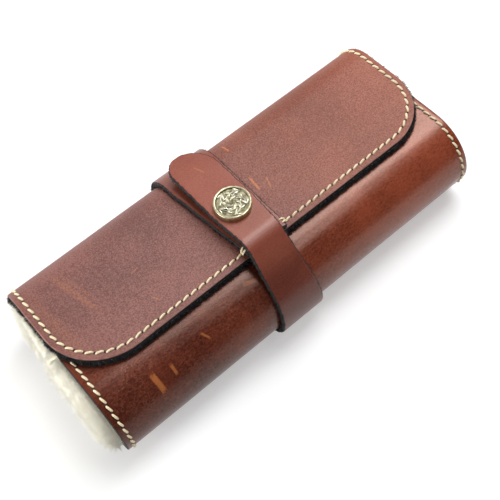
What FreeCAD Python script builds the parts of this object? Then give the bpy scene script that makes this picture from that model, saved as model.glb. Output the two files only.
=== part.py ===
import FreeCAD, Part
import math
import os

# Fountain pen case: a leather wrap lined with shearling, held shut by one strap and a snap.
# Millimetres. X runs along the case, -Y is the front, +Z is up, and z = 0 is the table.

# Case body
CASE_LENGTH = 180.0
CASE_DEPTH = 76.0
CASE_HEIGHT = 38.4
LEATHER = 2.2
SKIN = 1.6
WOOL = 6.0
WOOL_OVERHANG = 4.0
WOOL_INSET = 1.0
BACK_RADIUS = 16.0
FRONT_LOW_RADIUS = 14.0
FLAP_FRONT = -19.2
FLAP_CORNER = 25.0
TUCK_END = 1.0
TUCK_GAP = 0.4
TUCK_CORNER = 2.5
WOOL_GAP = 1.5

# Strap
STRAP = 2.4
STRAP_GAP = 0.2
STRAP_CENTRE = -5.0
SEWN_END_WIDTH = 19.5
SEWN_SHIFT = 2.0
BACK_WIDTH = 24.5
FRONT_WIDTH = 20.5
NECK_WIDTH = 16.6
TONGUE_WIDTH = 18.4
TONGUE_TIP = 31.0
TIP_CORNER = 7.5
TONGUE_LIFT = 3.2
FOLD_ANGLE = 48.0
FOLD_RADIUS = 6.0

# Snap fastener
SNAP_Y = -1.6
CAP_DIAMETER = 15.0
CAP_HEIGHT = 2.6
CAP_RIM = 1.3
CAP_RECESS = 0.7
POST_DIAMETER = 3.4
POST_CLEARANCE = 0.1
SOCKET_DIAMETER = 12.6
SOCKET_PLATE = 0.6
SOCKET_LIFT = 1.0
MOUTH_DIAMETER = 9.4
SPRING_WIRE = 0.5
SPRING_OPENING = 60.0
STUD_HEAD = 6.6
STUD_NECK = 5.8
STUD_FLANGE_DIAMETER = 11.0
STUD_FLANGE = 0.5
STUD_HEIGHT = 2.1
EYELET_DIAMETER = 9.0
EYELET = 0.6

# Stitching
STITCH_PITCH = 3.6
STITCH_LENGTH = 2.8
STITCH_RADIUS = 0.42
STITCH_INSET = 2.8
STITCH_SEAT = 0.06

# Heights and centres that follow from the sizes above
half_length = CASE_LENGTH / 2
half_depth = CASE_DEPTH / 2
wall = LEATHER + SKIN
base_z = STRAP + STRAP_GAP
top_z = base_z + CASE_HEIGHT
back_hinge_z = base_z + CASE_HEIGHT / 2
front_hinge_z = base_z + FRONT_LOW_RADIUS
back_y = half_depth - BACK_RADIUS
front_top_z = top_z - wall - TUCK_GAP
front_radius = front_top_z - front_hinge_z
front_low_y = FRONT_LOW_RADIUS - half_depth
front_top_y = front_radius - half_depth
strap_outer = STRAP_GAP + STRAP
strip_top_z = top_z + strap_outer
tongue_z = strip_top_z + TONGUE_LIFT
tongue_top_z = tongue_z + STRAP


def vector(y, z, x=0.0):
    return FreeCAD.Vector(x, y, z)


def polar(centre, radius, degrees):
    angle = math.radians(degrees)
    return centre[0] + radius * math.cos(angle), centre[1] + radius * math.sin(angle)


# Section paths in the YZ plane, anticlockwise, so that the outside is on the right hand.
def line(start, end):
    return {"kind": "line", "start": start, "end": end}


def arc(centre, radius, first, last):
    return {"kind": "arc", "centre": centre, "radius": radius, "first": first, "last": last}


def path_points(piece, offset):
    """Start, middle and end of one path piece, moved outwards by offset."""
    if piece["kind"] == "arc":
        angles = (piece["first"], (piece["first"] + piece["last"]) / 2, piece["last"])
        return [polar(piece["centre"], piece["radius"] + offset, angle) for angle in angles]
    (y0, z0), (y1, z1) = piece["start"], piece["end"]
    length = math.hypot(y1 - y0, z1 - z0)
    shift_y, shift_z = offset * (z1 - z0) / length, -offset * (y1 - y0) / length
    ends = [(y0 + shift_y, z0 + shift_z), (y1 + shift_y, z1 + shift_z)]
    middle = ((ends[0][0] + ends[1][0]) / 2, (ends[0][1] + ends[1][1]) / 2)
    return [ends[0], middle, ends[1]]


def path_edges(path, offset):
    edges = []
    for piece in path:
        first, middle, last = [vector(*point) for point in path_points(piece, offset)]
        if piece["kind"] == "arc":
            edges.append(Part.Arc(first, middle, last).toShape())
        else:
            edges.append(Part.LineSegment(first, last).toShape())
    return edges


def band(path, inner, outer, x_low, x_high):
    """A sheet of constant thickness that follows a section path, drawn out along X."""
    edges = path_edges(path, outer) + path_edges(path, inner)
    for piece, end in ((path[0], 0), (path[-1], 2)):
        near = vector(*path_points(piece, inner)[end])
        far = vector(*path_points(piece, outer)[end])
        edges.append(Part.LineSegment(near, far).toShape())
    face = Part.Face(Part.Wire(Part.sortEdges(edges)[0]))
    face.translate(FreeCAD.Vector(x_low, 0, 0))
    return face.extrude(FreeCAD.Vector(x_high - x_low, 0, 0))


def prism(corners, low, high):
    """An upright solid over a plan outline given as (x, y) corners."""
    points = [FreeCAD.Vector(x, y, low) for x, y in corners]
    face = Part.Face(Part.makePolygon(points + points[:1]))
    return face.extrude(FreeCAD.Vector(0, 0, high - low))


def rounded_front(half_width, front_y, back_y_end, corner, low, high):
    """An upright solid whose plan is a rectangle with its two -Y corners rounded."""
    corners = [(-half_width, back_y_end), (-half_width, front_y),
               (half_width, front_y), (half_width, back_y_end)]
    block = prism(corners, low, high)
    edges = [edge for edge in block.Edges
             if abs(edge.BoundBox.YMax - front_y) < 1e-6 and edge.BoundBox.ZLength > 1e-6]
    return block.makeFillet(corner, edges)


def rounded_back(half_width, front_y, back_y_end, corner, low, high):
    """The same outline turned round, with its two +Y corners rounded."""
    block = rounded_front(half_width, -back_y_end, -front_y, corner, low, high)
    return block.rotated(FreeCAD.Vector(0, 0, 0), FreeCAD.Vector(0, 0, 1), 180)


def disc(x, y, z, diameter, height):
    return Part.makeCylinder(diameter / 2, height, FreeCAD.Vector(x, y, z))


nodes = {}

# Section paths of the three leather panels
base_path = [
    arc((front_low_y, front_hinge_z), FRONT_LOW_RADIUS, 180, 270),
    line((front_low_y, base_z), (back_y, base_z)),
    arc((back_y, base_z + BACK_RADIUS), BACK_RADIUS, 270, 360),
    line((half_depth, base_z + BACK_RADIUS), (half_depth, back_hinge_z)),
]
flap_back_path = [
    line((half_depth, back_hinge_z), (half_depth, top_z - BACK_RADIUS)),
    arc((back_y, top_z - BACK_RADIUS), BACK_RADIUS, 0, 90),
]
flap_path = flap_back_path + [line((back_y, top_z), (FLAP_FRONT, top_z))]
flap_wool_path = flap_back_path + [line((back_y, top_z), (TUCK_END + WOOL_GAP, top_z))]
front_arc = arc((front_top_y, front_hinge_z), front_radius, 90, 180)
front_path = [line((TUCK_END, front_top_z), (front_top_y, front_top_z)), front_arc]

# Panels: leather outside, the lining's skin inside it, and the wool on the skin
flap_outline = rounded_front(half_length, FLAP_FRONT, half_depth + strap_outer, FLAP_CORNER, 0, 2 * top_z)
front_outline = rounded_back(half_length, -half_depth - strap_outer, TUCK_END, TUCK_CORNER, 0, 2 * top_z)
layers = (("leather", -LEATHER, 0.0), ("lining_skin", -wall, -LEATHER))
for layer, inner, outer in layers:
    nodes["base_" + layer] = band(base_path, inner, outer, -half_length, half_length)
    nodes["flap_" + layer] = band(flap_path, inner, outer, -half_length, half_length).common(flap_outline)
    nodes["front_" + layer] = band(front_path, inner, outer, -half_length, half_length).common(front_outline)
wool_half = half_length + WOOL_OVERHANG
nodes["base_wool"] = band(base_path, -wall - WOOL, -wall, -wool_half, wool_half)
inset_half = half_length - WOOL_INSET
nodes["flap_wool"] = band(flap_wool_path, -wall - WOOL, -wall, -inset_half, inset_half)
nodes["front_wool"] = band(front_path, -wall - WOOL, -wall, -inset_half, inset_half).common(front_outline)

# Strap: one belt round the case. Its sewn end lies on the flap, and its tongue folds over that end.
fold_start = 90 + FOLD_ANGLE
strap_front_radius = front_radius + STRAP_GAP
fold_along = (math.sin(math.radians(fold_start)), -math.cos(math.radians(fold_start)))
tangent_point = polar((front_top_y, front_hinge_z), strap_front_radius, fold_start)
fold_offset = polar((0.0, 0.0), FOLD_RADIUS, fold_start)
climb = (tongue_z - FOLD_RADIUS + fold_offset[1] - tangent_point[1]) / fold_along[1]
fold_point = (tangent_point[0] + climb * fold_along[0], tangent_point[1] + climb * fold_along[1])
fold_centre = (fold_point[0] - fold_offset[0], fold_point[1] - fold_offset[1])
strap_front_path = [
    line(fold_point, tangent_point),
    arc((front_top_y, front_hinge_z), strap_front_radius, fold_start, 180),
]
neck_path = [arc(fold_centre, FOLD_RADIUS, 90, fold_start)]


def strap_plan(stations):
    """An upright cutter whose width and sideways shift follow (y, width, shift) stations from front to back."""
    left = [(STRAP_CENTRE + shift - width / 2, y) for y, width, shift in stations]
    right = [(STRAP_CENTRE + shift + width / 2, y) for y, width, shift in reversed(stations)]
    return prism(left + right, -STRAP, 2 * top_z)


strap_half = max(BACK_WIDTH, FRONT_WIDTH, NECK_WIDTH, TONGUE_WIDTH, SEWN_END_WIDTH) / 2 + STRAP
strap_low, strap_high = STRAP_CENTRE - strap_half, STRAP_CENTRE + strap_half
reach = half_depth + 2 * strap_outer
under_run = band(base_path, STRAP_GAP, strap_outer, strap_low, strap_high)
under_plan = [(-reach, FRONT_WIDTH, 0.0), (front_low_y, FRONT_WIDTH, 0.0),
              (back_y, BACK_WIDTH, 0.0), (reach, BACK_WIDTH, 0.0)]
nodes["strap_under_run"] = under_run.common(strap_plan(under_plan))
sewn_run = band(flap_path, STRAP_GAP, strap_outer, strap_low, strap_high)
sewn_plan = [(FLAP_FRONT, SEWN_END_WIDTH, SEWN_SHIFT), (back_y, BACK_WIDTH, 0.0), (reach, BACK_WIDTH, 0.0)]
sewn_run = sewn_run.common(strap_plan(sewn_plan))

front_run = band(strap_front_path, 0.0, STRAP, strap_low, strap_high)
fold_outer_z = polar(fold_centre, FOLD_RADIUS + STRAP, fold_start)[1]
taper = [(STRAP_CENTRE - FRONT_WIDTH / 2, front_hinge_z), (STRAP_CENTRE + FRONT_WIDTH / 2, front_hinge_z),
         (STRAP_CENTRE + NECK_WIDTH / 2, fold_outer_z), (STRAP_CENTRE - NECK_WIDTH / 2, fold_outer_z)]
taper_points = [FreeCAD.Vector(x, -2 * reach, z) for x, z in taper]
taper_face = Part.Face(Part.makePolygon(taper_points + taper_points[:1]))
nodes["strap_front_run"] = front_run.common(taper_face.extrude(FreeCAD.Vector(0, 4 * reach, 0)))
neck_low, neck_high = STRAP_CENTRE - NECK_WIDTH / 2, STRAP_CENTRE + NECK_WIDTH / 2
nodes["strap_neck"] = band(neck_path, 0.0, STRAP, neck_low, neck_high)

tongue_start = fold_centre[0]
tongue_corners = [(STRAP_CENTRE - NECK_WIDTH / 2, tongue_start), (STRAP_CENTRE - TONGUE_WIDTH / 2, SNAP_Y),
                  (STRAP_CENTRE - TONGUE_WIDTH / 2, TONGUE_TIP), (STRAP_CENTRE + TONGUE_WIDTH / 2, TONGUE_TIP),
                  (STRAP_CENTRE + TONGUE_WIDTH / 2, SNAP_Y), (STRAP_CENTRE + NECK_WIDTH / 2, tongue_start)]
tongue = prism(tongue_corners, tongue_z, tongue_top_z)
tip_edges = [edge for edge in tongue.Edges
             if abs(edge.BoundBox.YMin - TONGUE_TIP) < 1e-6 and edge.BoundBox.ZLength > 1e-6]
tongue = tongue.makeFillet(TIP_CORNER, tip_edges)

# Snap: cap, socket and spring on the tongue, stud and eyelet on the sewn end
snap_x = STRAP_CENTRE
hole_diameter = POST_DIAMETER + 2 * POST_CLEARANCE
nodes["strap_tongue"] = tongue.cut(disc(snap_x, SNAP_Y, tongue_z, hole_diameter, STRAP))

socket_bottom = strip_top_z + SOCKET_LIFT
cap = disc(snap_x, SNAP_Y, tongue_top_z, CAP_DIAMETER, CAP_HEIGHT)
cap_edges = [edge for edge in cap.Edges if abs(edge.BoundBox.ZMin - tongue_top_z - CAP_HEIGHT) < 1e-6]
cap = cap.makeFillet(CAP_RIM / 2, cap_edges)
recess_z = tongue_top_z + CAP_HEIGHT - CAP_RECESS
cap = cap.cut(disc(snap_x, SNAP_Y, recess_z, CAP_DIAMETER - 2 * CAP_RIM, CAP_RECESS))
post_bottom = tongue_z - SOCKET_PLATE
nodes["snap_cap"] = cap.fuse(disc(snap_x, SNAP_Y, post_bottom, POST_DIAMETER, tongue_top_z - post_bottom))

socket = disc(snap_x, SNAP_Y, socket_bottom, SOCKET_DIAMETER, tongue_z - socket_bottom)
mouth_height = tongue_z - SOCKET_PLATE - socket_bottom
socket = socket.cut(disc(snap_x, SNAP_Y, socket_bottom, MOUTH_DIAMETER, mouth_height))
socket = socket.cut(disc(snap_x, SNAP_Y, socket_bottom, hole_diameter, tongue_z - socket_bottom))
spring_z = socket_bottom + mouth_height / 2
spring_radius = MOUTH_DIAMETER / 2 + SPRING_WIRE / 2
groove = disc(snap_x, SNAP_Y, spring_z - SPRING_WIRE, MOUTH_DIAMETER + 3 * SPRING_WIRE, 2 * SPRING_WIRE)
nodes["snap_socket"] = socket.cut(groove)
spring_centre = FreeCAD.Vector(snap_x, SNAP_Y, spring_z)
upright = FreeCAD.Vector(0, 0, 1)
nodes["snap_spring"] = Part.makeTorus(spring_radius, SPRING_WIRE / 2, spring_centre, upright,
                                      0, 360, 360 - SPRING_OPENING)

stud = disc(snap_x, SNAP_Y, strip_top_z, STUD_FLANGE_DIAMETER, STUD_FLANGE)
stud = stud.fuse(disc(snap_x, SNAP_Y, strip_top_z, STUD_NECK, STUD_HEIGHT))
head_height = (STUD_HEIGHT - STUD_FLANGE) / 2
stud = stud.fuse(disc(snap_x, SNAP_Y, strip_top_z + STUD_HEIGHT - head_height, STUD_HEAD, head_height))
strip_bottom_z = strip_top_z - STRAP
nodes["snap_stud"] = stud.fuse(disc(snap_x, SNAP_Y, strip_bottom_z, POST_DIAMETER, STRAP)).removeSplitter()
eyelet = disc(snap_x, SNAP_Y, strip_bottom_z, EYELET_DIAMETER, EYELET)
nodes["snap_eyelet"] = eyelet.cut(disc(snap_x, SNAP_Y, strip_bottom_z, hole_diameter, EYELET))
sewn_run = sewn_run.cut(disc(snap_x, SNAP_Y, strip_bottom_z, hole_diameter, STRAP))
recess_diameter = EYELET_DIAMETER + 2 * POST_CLEARANCE
nodes["strap_sewn_run"] = sewn_run.cut(disc(snap_x, SNAP_Y, strip_bottom_z, recess_diameter, EYELET))


# Stitches: short half-round threads that lie on the leather
def thread():
    """One stitch along X on the XY plane, round side up."""
    left, right = FreeCAD.Vector(0, -STITCH_RADIUS, 0), FreeCAD.Vector(0, STITCH_RADIUS, 0)
    round_side = Part.Arc(left, FreeCAD.Vector(0, 0, STITCH_RADIUS), right).toShape()
    face = Part.Face(Part.Wire([round_side, Part.LineSegment(right, left).toShape()]))
    face.translate(FreeCAD.Vector(-STITCH_LENGTH / 2, 0, 0))
    return face.extrude(FreeCAD.Vector(STITCH_LENGTH, 0, 0))


def stitch(position, along, normal):
    """A stitch at a point of a surface, lying along one direction."""
    across = normal.cross(along)
    turn = FreeCAD.Matrix(along.x, across.x, normal.x, position.x + normal.x * STITCH_SEAT,
                          along.y, across.y, normal.y, position.y + normal.y * STITCH_SEAT,
                          along.z, across.z, normal.z, position.z + normal.z * STITCH_SEAT)
    return thread().transformGeometry(turn)


def row_positions(length):
    """Evenly spaced distances along a row, a half pitch in from both ends."""
    count = max(1, int(length / STITCH_PITCH))
    return [(step + 0.5) * length / count for step in range(count)]


def section_row(path, x):
    """Stitches along a section path at one distance along the case."""
    row = []
    for piece in path:
        first, _, last = path_points(piece, 0.0)
        if piece["kind"] == "arc":
            length = math.radians(piece["last"] - piece["first"]) * piece["radius"]
        else:
            length = math.hypot(last[0] - first[0], last[1] - first[1])
        for distance in row_positions(length):
            share = distance / length
            if piece["kind"] == "arc":
                angle = piece["first"] + share * (piece["last"] - piece["first"])
                point = polar(piece["centre"], piece["radius"], angle)
                normal = vector(*polar((0.0, 0.0), 1.0, angle))
            else:
                point = (first[0] + share * (last[0] - first[0]), first[1] + share * (last[1] - first[1]))
                normal = vector((last[1] - first[1]) / length, -(last[0] - first[0]) / length)
            along = normal.cross(FreeCAD.Vector(1, 0, 0))
            row.append(stitch(vector(point[0], point[1], x), along, normal))
    return row


row_x = half_length - STITCH_INSET
row_y = FLAP_FRONT + STITCH_INSET
corner_radius = FLAP_CORNER - STITCH_INSET
corner_x = half_length - FLAP_CORNER
corner_y = FLAP_FRONT + FLAP_CORNER
strip_half = SEWN_END_WIDTH / 2 + STITCH_PITCH / 2
sewn_x = STRAP_CENTRE + SEWN_SHIFT


def flap_rows():
    """The flap's perimeter row: both ends, both corners and the front edge beside the strap."""
    rows = []
    side_path = flap_back_path + [line((back_y, top_z), (corner_y, top_z))]
    for side in (-1, 1):
        rows += section_row(side_path, side * row_x)
        for distance in row_positions(math.pi / 2 * corner_radius):
            angle = distance / corner_radius
            outward = FreeCAD.Vector(side * math.cos(angle), -math.sin(angle), 0)
            centre = FreeCAD.Vector(side * corner_x, corner_y, top_z)
            rows.append(stitch(centre + outward * corner_radius, upright.cross(outward), upright))
        start = sewn_x + side * strip_half
        run = side * corner_x - start
        for distance in row_positions(abs(run)):
            spot = FreeCAD.Vector(start + side * distance, row_y, top_z)
            rows.append(stitch(spot, FreeCAD.Vector(1, 0, 0), upright))
    return rows


nodes["flap_stitching"] = Part.Compound(flap_rows())
front_side = [line((FLAP_FRONT, front_top_z), (front_top_y, front_top_z))] if FLAP_FRONT > front_top_y else []
front_rows = [section_row(front_side + [front_arc], side * row_x) for side in (-1, 1)]
nodes["front_stitching"] = Part.Compound(front_rows[0] + front_rows[1])
base_rows = [section_row(base_path, side * row_x) for side in (-1, 1)]
nodes["base_stitching"] = Part.Compound(base_rows[0] + base_rows[1])
end_run = SEWN_END_WIDTH - STITCH_PITCH
end_row = [FreeCAD.Vector(sewn_x - end_run / 2 + distance, row_y, strip_top_z)
           for distance in row_positions(end_run)]
nodes["strap_end_stitching"] = Part.Compound([stitch(spot, FreeCAD.Vector(1, 0, 0), upright) for spot in end_row])

os.makedirs("parts", exist_ok=True)
for name, shape in nodes.items():
    shape.exportStep("parts/" + name + ".step")
    print(name, "solids", len(shape.Solids), "volume", round(shape.Volume, 2), "valid", shape.isValid())
fold_outer = polar(fold_centre, FOLD_RADIUS + STRAP, fold_start)
print("back hinge y z", half_depth + strap_outer, back_hinge_z)
print("front and strap hinge y z", -half_depth - strap_outer, front_hinge_z)
print("neck hinge y z", fold_outer[0], fold_outer[1])
print("tongue hinge y z", tongue_start, tongue_top_z)
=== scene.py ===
# %% [markdown]
# # A leather pen case with a shearling lining
# The solids of the case are loaded first and stay where they are. Everything below dresses them:
# leather sheets, fluffy wool, thread, and a brass snap.

# %% Load the frame
import math

import bmesh
import bpy
import numpy as np
from mathutils import Matrix, Vector
from mathutils.kdtree import KDTree


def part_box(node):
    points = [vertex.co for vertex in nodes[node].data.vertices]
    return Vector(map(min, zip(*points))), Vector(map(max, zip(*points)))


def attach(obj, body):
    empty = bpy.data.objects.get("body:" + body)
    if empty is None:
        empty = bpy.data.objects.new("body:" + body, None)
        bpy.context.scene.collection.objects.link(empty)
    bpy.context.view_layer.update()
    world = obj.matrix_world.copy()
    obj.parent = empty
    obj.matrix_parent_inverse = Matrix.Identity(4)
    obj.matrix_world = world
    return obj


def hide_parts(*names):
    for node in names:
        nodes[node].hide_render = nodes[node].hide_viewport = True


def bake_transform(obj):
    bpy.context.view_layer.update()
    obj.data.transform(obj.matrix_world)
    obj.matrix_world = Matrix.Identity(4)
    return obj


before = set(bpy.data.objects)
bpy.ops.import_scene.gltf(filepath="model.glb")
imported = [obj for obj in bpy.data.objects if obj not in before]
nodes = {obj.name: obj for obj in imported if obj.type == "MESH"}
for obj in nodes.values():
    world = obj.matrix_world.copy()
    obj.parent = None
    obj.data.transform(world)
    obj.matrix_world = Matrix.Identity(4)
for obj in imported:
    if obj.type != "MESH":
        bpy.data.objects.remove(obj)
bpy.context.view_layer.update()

MM = 0.001

# %% [markdown]
# ## The section of the case
# Every leather piece follows one section: flat bottom, round back, flat flap, and a front that curls up
# and tucks in under the flap. The places come from the solids, so the looks cannot drift away from them.

# %% Read the main places from the solids
LEATHER = 2.2 * MM
SKIN = 1.6 * MM
WOOL = 6.0 * MM
BACK_RADIUS = 16.0 * MM
FLAP_CORNER = 25.0 * MM
STRAP = 2.4 * MM
STRAP_GAP = 0.2 * MM
FOLD_ANGLE = 48.0
FOLD_RADIUS = 6.0 * MM
NECK_WIDTH = 16.6 * MM
FRONT_STRAP_WIDTH = 20.5 * MM
SEWN_END_WIDTH = 19.5 * MM
SEWN_SHIFT = 2.0 * MM
base_low, base_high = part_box("base_leather")
flap_low, flap_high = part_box("flap_leather")
front_low, front_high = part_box("front_leather")
tongue_low, tongue_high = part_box("strap_tongue")
under_low, under_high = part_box("strap_under_run")
cap_low, cap_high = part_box("snap_cap")
half_length = base_high.x
half_depth = base_high.y
base_z, top_z = base_low.z, flap_high.z
back_hinge_z, front_hinge_z = flap_low.z, front_low.z
front_top_z, tuck_end, flap_front = front_high.z, front_high.y, flap_low.y
back_y = half_depth - BACK_RADIUS
low_radius = front_hinge_z - base_z
front_radius = front_top_z - front_hinge_z
front_low_y = low_radius - half_depth
front_top_y = front_radius - half_depth
strap_x = (tongue_low.x + tongue_high.x) / 2
back_width = under_high.x - under_low.x
tongue_width = tongue_high.x - tongue_low.x
tongue_z, tongue_top_z = tongue_low.z, tongue_high.z
strip_top_z = top_z + STRAP_GAP + STRAP
wall = LEATHER + SKIN
case_size = [round(2 * half / MM) for half in (half_length, half_depth)]
print("case", case_size, "mm, top at", round(top_z / MM, 1), "mm")


# %% Describe a section as lines and arcs
def line(start, end):
    return ("line", start, end)


def arc(centre, radius, first, last):
    return ("arc", centre, radius, first, last)


def piece_length(piece):
    if piece[0] == "arc":
        return math.radians(abs(piece[4] - piece[3])) * piece[2]
    return math.dist(piece[1], piece[2])


def path_length(path):
    return sum(piece_length(piece) for piece in path)


def station(path, distance):
    """Point and outward normal in the YZ plane at a distance along a section."""
    for piece in path:
        length = piece_length(piece)
        if distance <= length or piece is path[-1]:
            break
        distance -= length
    share = distance / length
    if piece[0] == "arc":
        angle = math.radians(piece[3] + share * (piece[4] - piece[3]))
        normal = (math.cos(angle), math.sin(angle))
        return (piece[1][0] + piece[2] * normal[0], piece[1][1] + piece[2] * normal[1]), normal
    (y0, z0), (y1, z1) = piece[1], piece[2]
    normal = ((z1 - z0) / length, -(y1 - y0) / length)
    return (y0 + share * (y1 - y0), z0 + share * (z1 - z0)), normal


def polar(centre, radius, degrees):
    angle = math.radians(degrees)
    return (centre[0] + radius * math.cos(angle), centre[1] + radius * math.sin(angle))


rear_path = [
    line((0.0, base_z), (back_y, base_z)),
    arc((back_y, base_z + BACK_RADIUS), BACK_RADIUS, 270, 360),
    line((half_depth, base_z + BACK_RADIUS), (half_depth, top_z - BACK_RADIUS)),
    arc((back_y, top_z - BACK_RADIUS), BACK_RADIUS, 0, 90),
    line((back_y, top_z), (flap_front, top_z)),
]
front_path = [
    line((tuck_end, front_top_z), (front_top_y, front_top_z)),
    arc((front_top_y, front_hinge_z), front_radius, 90, 180),
    arc((front_low_y, front_hinge_z), low_radius, 180, 270),
    line((front_low_y, base_z), (0.0, base_z)),
]
for sheet_name, path in (("rear", rear_path), ("front", front_path)):
    print(sheet_name, "sheet", round(path_length(path) / MM), "mm")

# %% [markdown]
# ## Materials
# Small helpers keep the node trees readable: each makes one node and wires it. All patterns read Object
# coordinates, so they stay on the leather when the case opens.


# %% Node helpers
SCUFF_DEPTH = 8 * MM


class Finish:
    """A material and the few kinds of node that the finishes here are made from."""

    def __init__(self, name, roughness=0.5, metallic=0.0):
        self.material = bpy.data.materials.new(name)
        self.material.use_nodes = True
        self.tree = self.material.node_tree
        self.shader = self.tree.nodes["Principled BSDF"]
        self.shader.inputs["Roughness"].default_value = roughness
        self.shader.inputs["Metallic"].default_value = metallic
        self.coords = self.tree.nodes.new("ShaderNodeTexCoord").outputs["Object"]

    def put(self, socket, value):
        if isinstance(value, bpy.types.NodeSocket):
            self.tree.links.new(value, socket)
        else:
            socket.default_value = value

    def put_colour(self, socket, value):
        self.put(socket, value if isinstance(value, bpy.types.NodeSocket) else (*value, 1.0))

    def scaled(self, scale):
        node = self.tree.nodes.new("ShaderNodeMapping")
        self.put(node.inputs["Vector"], self.coords)
        node.inputs["Scale"].default_value = scale
        return node.outputs["Vector"]

    def noise(self, scale, detail=3.0, rough=0.55, vector=None, distortion=0.0):
        node = self.tree.nodes.new("ShaderNodeTexNoise")
        self.put(node.inputs["Vector"], vector or self.coords)
        node.inputs["Scale"].default_value = scale
        node.inputs["Detail"].default_value = detail
        node.inputs["Roughness"].default_value = rough
        node.inputs["Distortion"].default_value = distortion
        return node.outputs["Fac"]

    def cells(self, scale):
        node = self.tree.nodes.new("ShaderNodeTexVoronoi")
        self.put(node.inputs["Vector"], self.coords)
        node.inputs["Scale"].default_value = scale
        return node.outputs["Distance"]

    def remap(self, value, low, high, to_low=0.0, to_high=1.0):
        node = self.tree.nodes.new("ShaderNodeMapRange")
        node.interpolation_type = "SMOOTHSTEP"
        self.put(node.inputs["Value"], value)
        for name, number in (("From Min", low), ("From Max", high), ("To Min", to_low), ("To Max", to_high)):
            node.inputs[name].default_value = number
        return node.outputs["Result"]

    def math(self, operation, first, second=0.0):
        node = self.tree.nodes.new("ShaderNodeMath")
        node.operation = operation
        self.put(node.inputs[0], first)
        self.put(node.inputs[1], second)
        return node.outputs["Value"]

    def mix(self, factor, first, second):
        node = self.tree.nodes.new("ShaderNodeMix")
        node.data_type = "RGBA"
        self.put(node.inputs["Factor"], factor)
        colours = [socket for socket in node.inputs if socket.type == "RGBA"]
        for socket, value in zip(colours, (first, second)):
            self.put_colour(socket, value)
        return [socket for socket in node.outputs if socket.type == "RGBA"][0]

    def bump(self, heights):
        """Stacks (height, strength, depth) bumps, fine ones first."""
        normal = None
        for height, strength, depth in heights:
            node = self.tree.nodes.new("ShaderNodeBump")
            self.put(node.inputs["Height"], height)
            node.inputs["Strength"].default_value = strength
            node.inputs["Distance"].default_value = depth
            if normal is not None:
                self.put(node.inputs["Normal"], normal)
            normal = node.outputs["Normal"]
        self.put(self.shader.inputs["Normal"], normal)

    def colour(self, value):
        self.put_colour(self.shader.inputs["Base Color"], value)

    def scuff(self, centre, along, half_long, half_wide, soft):
        """A mask that is 1 on one short rubbed bar, with ragged ends and streaks."""
        shift = self.tree.nodes.new("ShaderNodeVectorMath")
        shift.operation = "SUBTRACT"
        self.put(shift.inputs[0], self.coords)
        shift.inputs[1].default_value = centre
        along = Vector(along).normalized()
        inside = None
        side = along.cross(Vector((0, 0, 1))).normalized()
        for direction, half in ((along, half_long), (side, half_wide), (side.cross(along), SCUFF_DEPTH)):
            dot = self.tree.nodes.new("ShaderNodeVectorMath")
            dot.operation = "DOT_PRODUCT"
            self.put(dot.inputs[0], shift.outputs["Vector"])
            dot.inputs[1].default_value = direction
            reach = self.math("DIVIDE", self.math("ABSOLUTE", dot.outputs["Value"]), half)
            inside = reach if inside is None else self.math("MAXIMUM", inside, reach)
        ragged = self.math("ADD", inside, self.math("MULTIPLY", self.noise(1500, 2.0), 0.7))
        return self.remap(ragged, 1.55, 1.55 - soft)


# %% [markdown]
# Pull-up leather is dyed through and waxed. Bending or rubbing drives the wax aside, so the colour goes
# from dark brown to rust where it has been stressed. A slow noise gives the cloudy change, two fine ones
# give the grain, a stretched one gives the pebbles of the glossy front, the contour lines of two more give
# the creases, and a few masks give the scratches. The tone also drifts slowly to a second pair of tones.
# On the flap this is the leather's own tone, warmer towards the right end. On the front it is partly painted
# light, lighter towards the right end as if lit from that side. On the strap it runs with height and is
# painted light and shade, lighter on top and darker down the front.


# %% Leather
SCUFF_COLOUR = (0.60, 0.20, 0.06)
CREASE_SIZES = ((190, 0.010), (380, 0.012))
CREASE_FADE = 0.7


def leather_tone(finish, shares):
    """How light the leather is at a point, from four patterns that each count for a share."""
    cloud = finish.noise(24, 3.0, 0.55)
    grain = finish.noise(1700, 3.0, 0.7)
    speck = finish.noise(3600, 2.0, 0.6)
    pebble = finish.noise(1.0, 3.0, 0.6, vector=finish.scaled((720, 1450, 1450)))
    tone = 0.5
    for pattern, share in zip((cloud, grain, speck, pebble), shares):
        part = finish.math("MULTIPLY", finish.math("SUBTRACT", pattern, 0.5), share)
        tone = finish.math("ADD", tone, part)
    return finish.remap(tone, 0.41, 0.59), grain, pebble


def leather_creases(finish, drift):
    """Fine lines in patches, fewer towards the warm end."""
    wrinkle = None
    for scale, fine in CREASE_SIZES:
        away = finish.math("ABSOLUTE", finish.math("SUBTRACT", finish.noise(scale, 4.0, 0.6), 0.5))
        crease = finish.remap(away, fine, 0.0)
        wrinkle = crease if wrinkle is None else finish.math("MAXIMUM", wrinkle, crease)
    patchy = finish.math("MULTIPLY", wrinkle, finish.remap(finish.noise(60, 2.0), 0.34, 0.58))
    kept = finish.math("SUBTRACT", 1.0, finish.math("MULTIPLY", drift, CREASE_FADE))
    return finish.math("MULTIPLY", patchy, kept)


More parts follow.
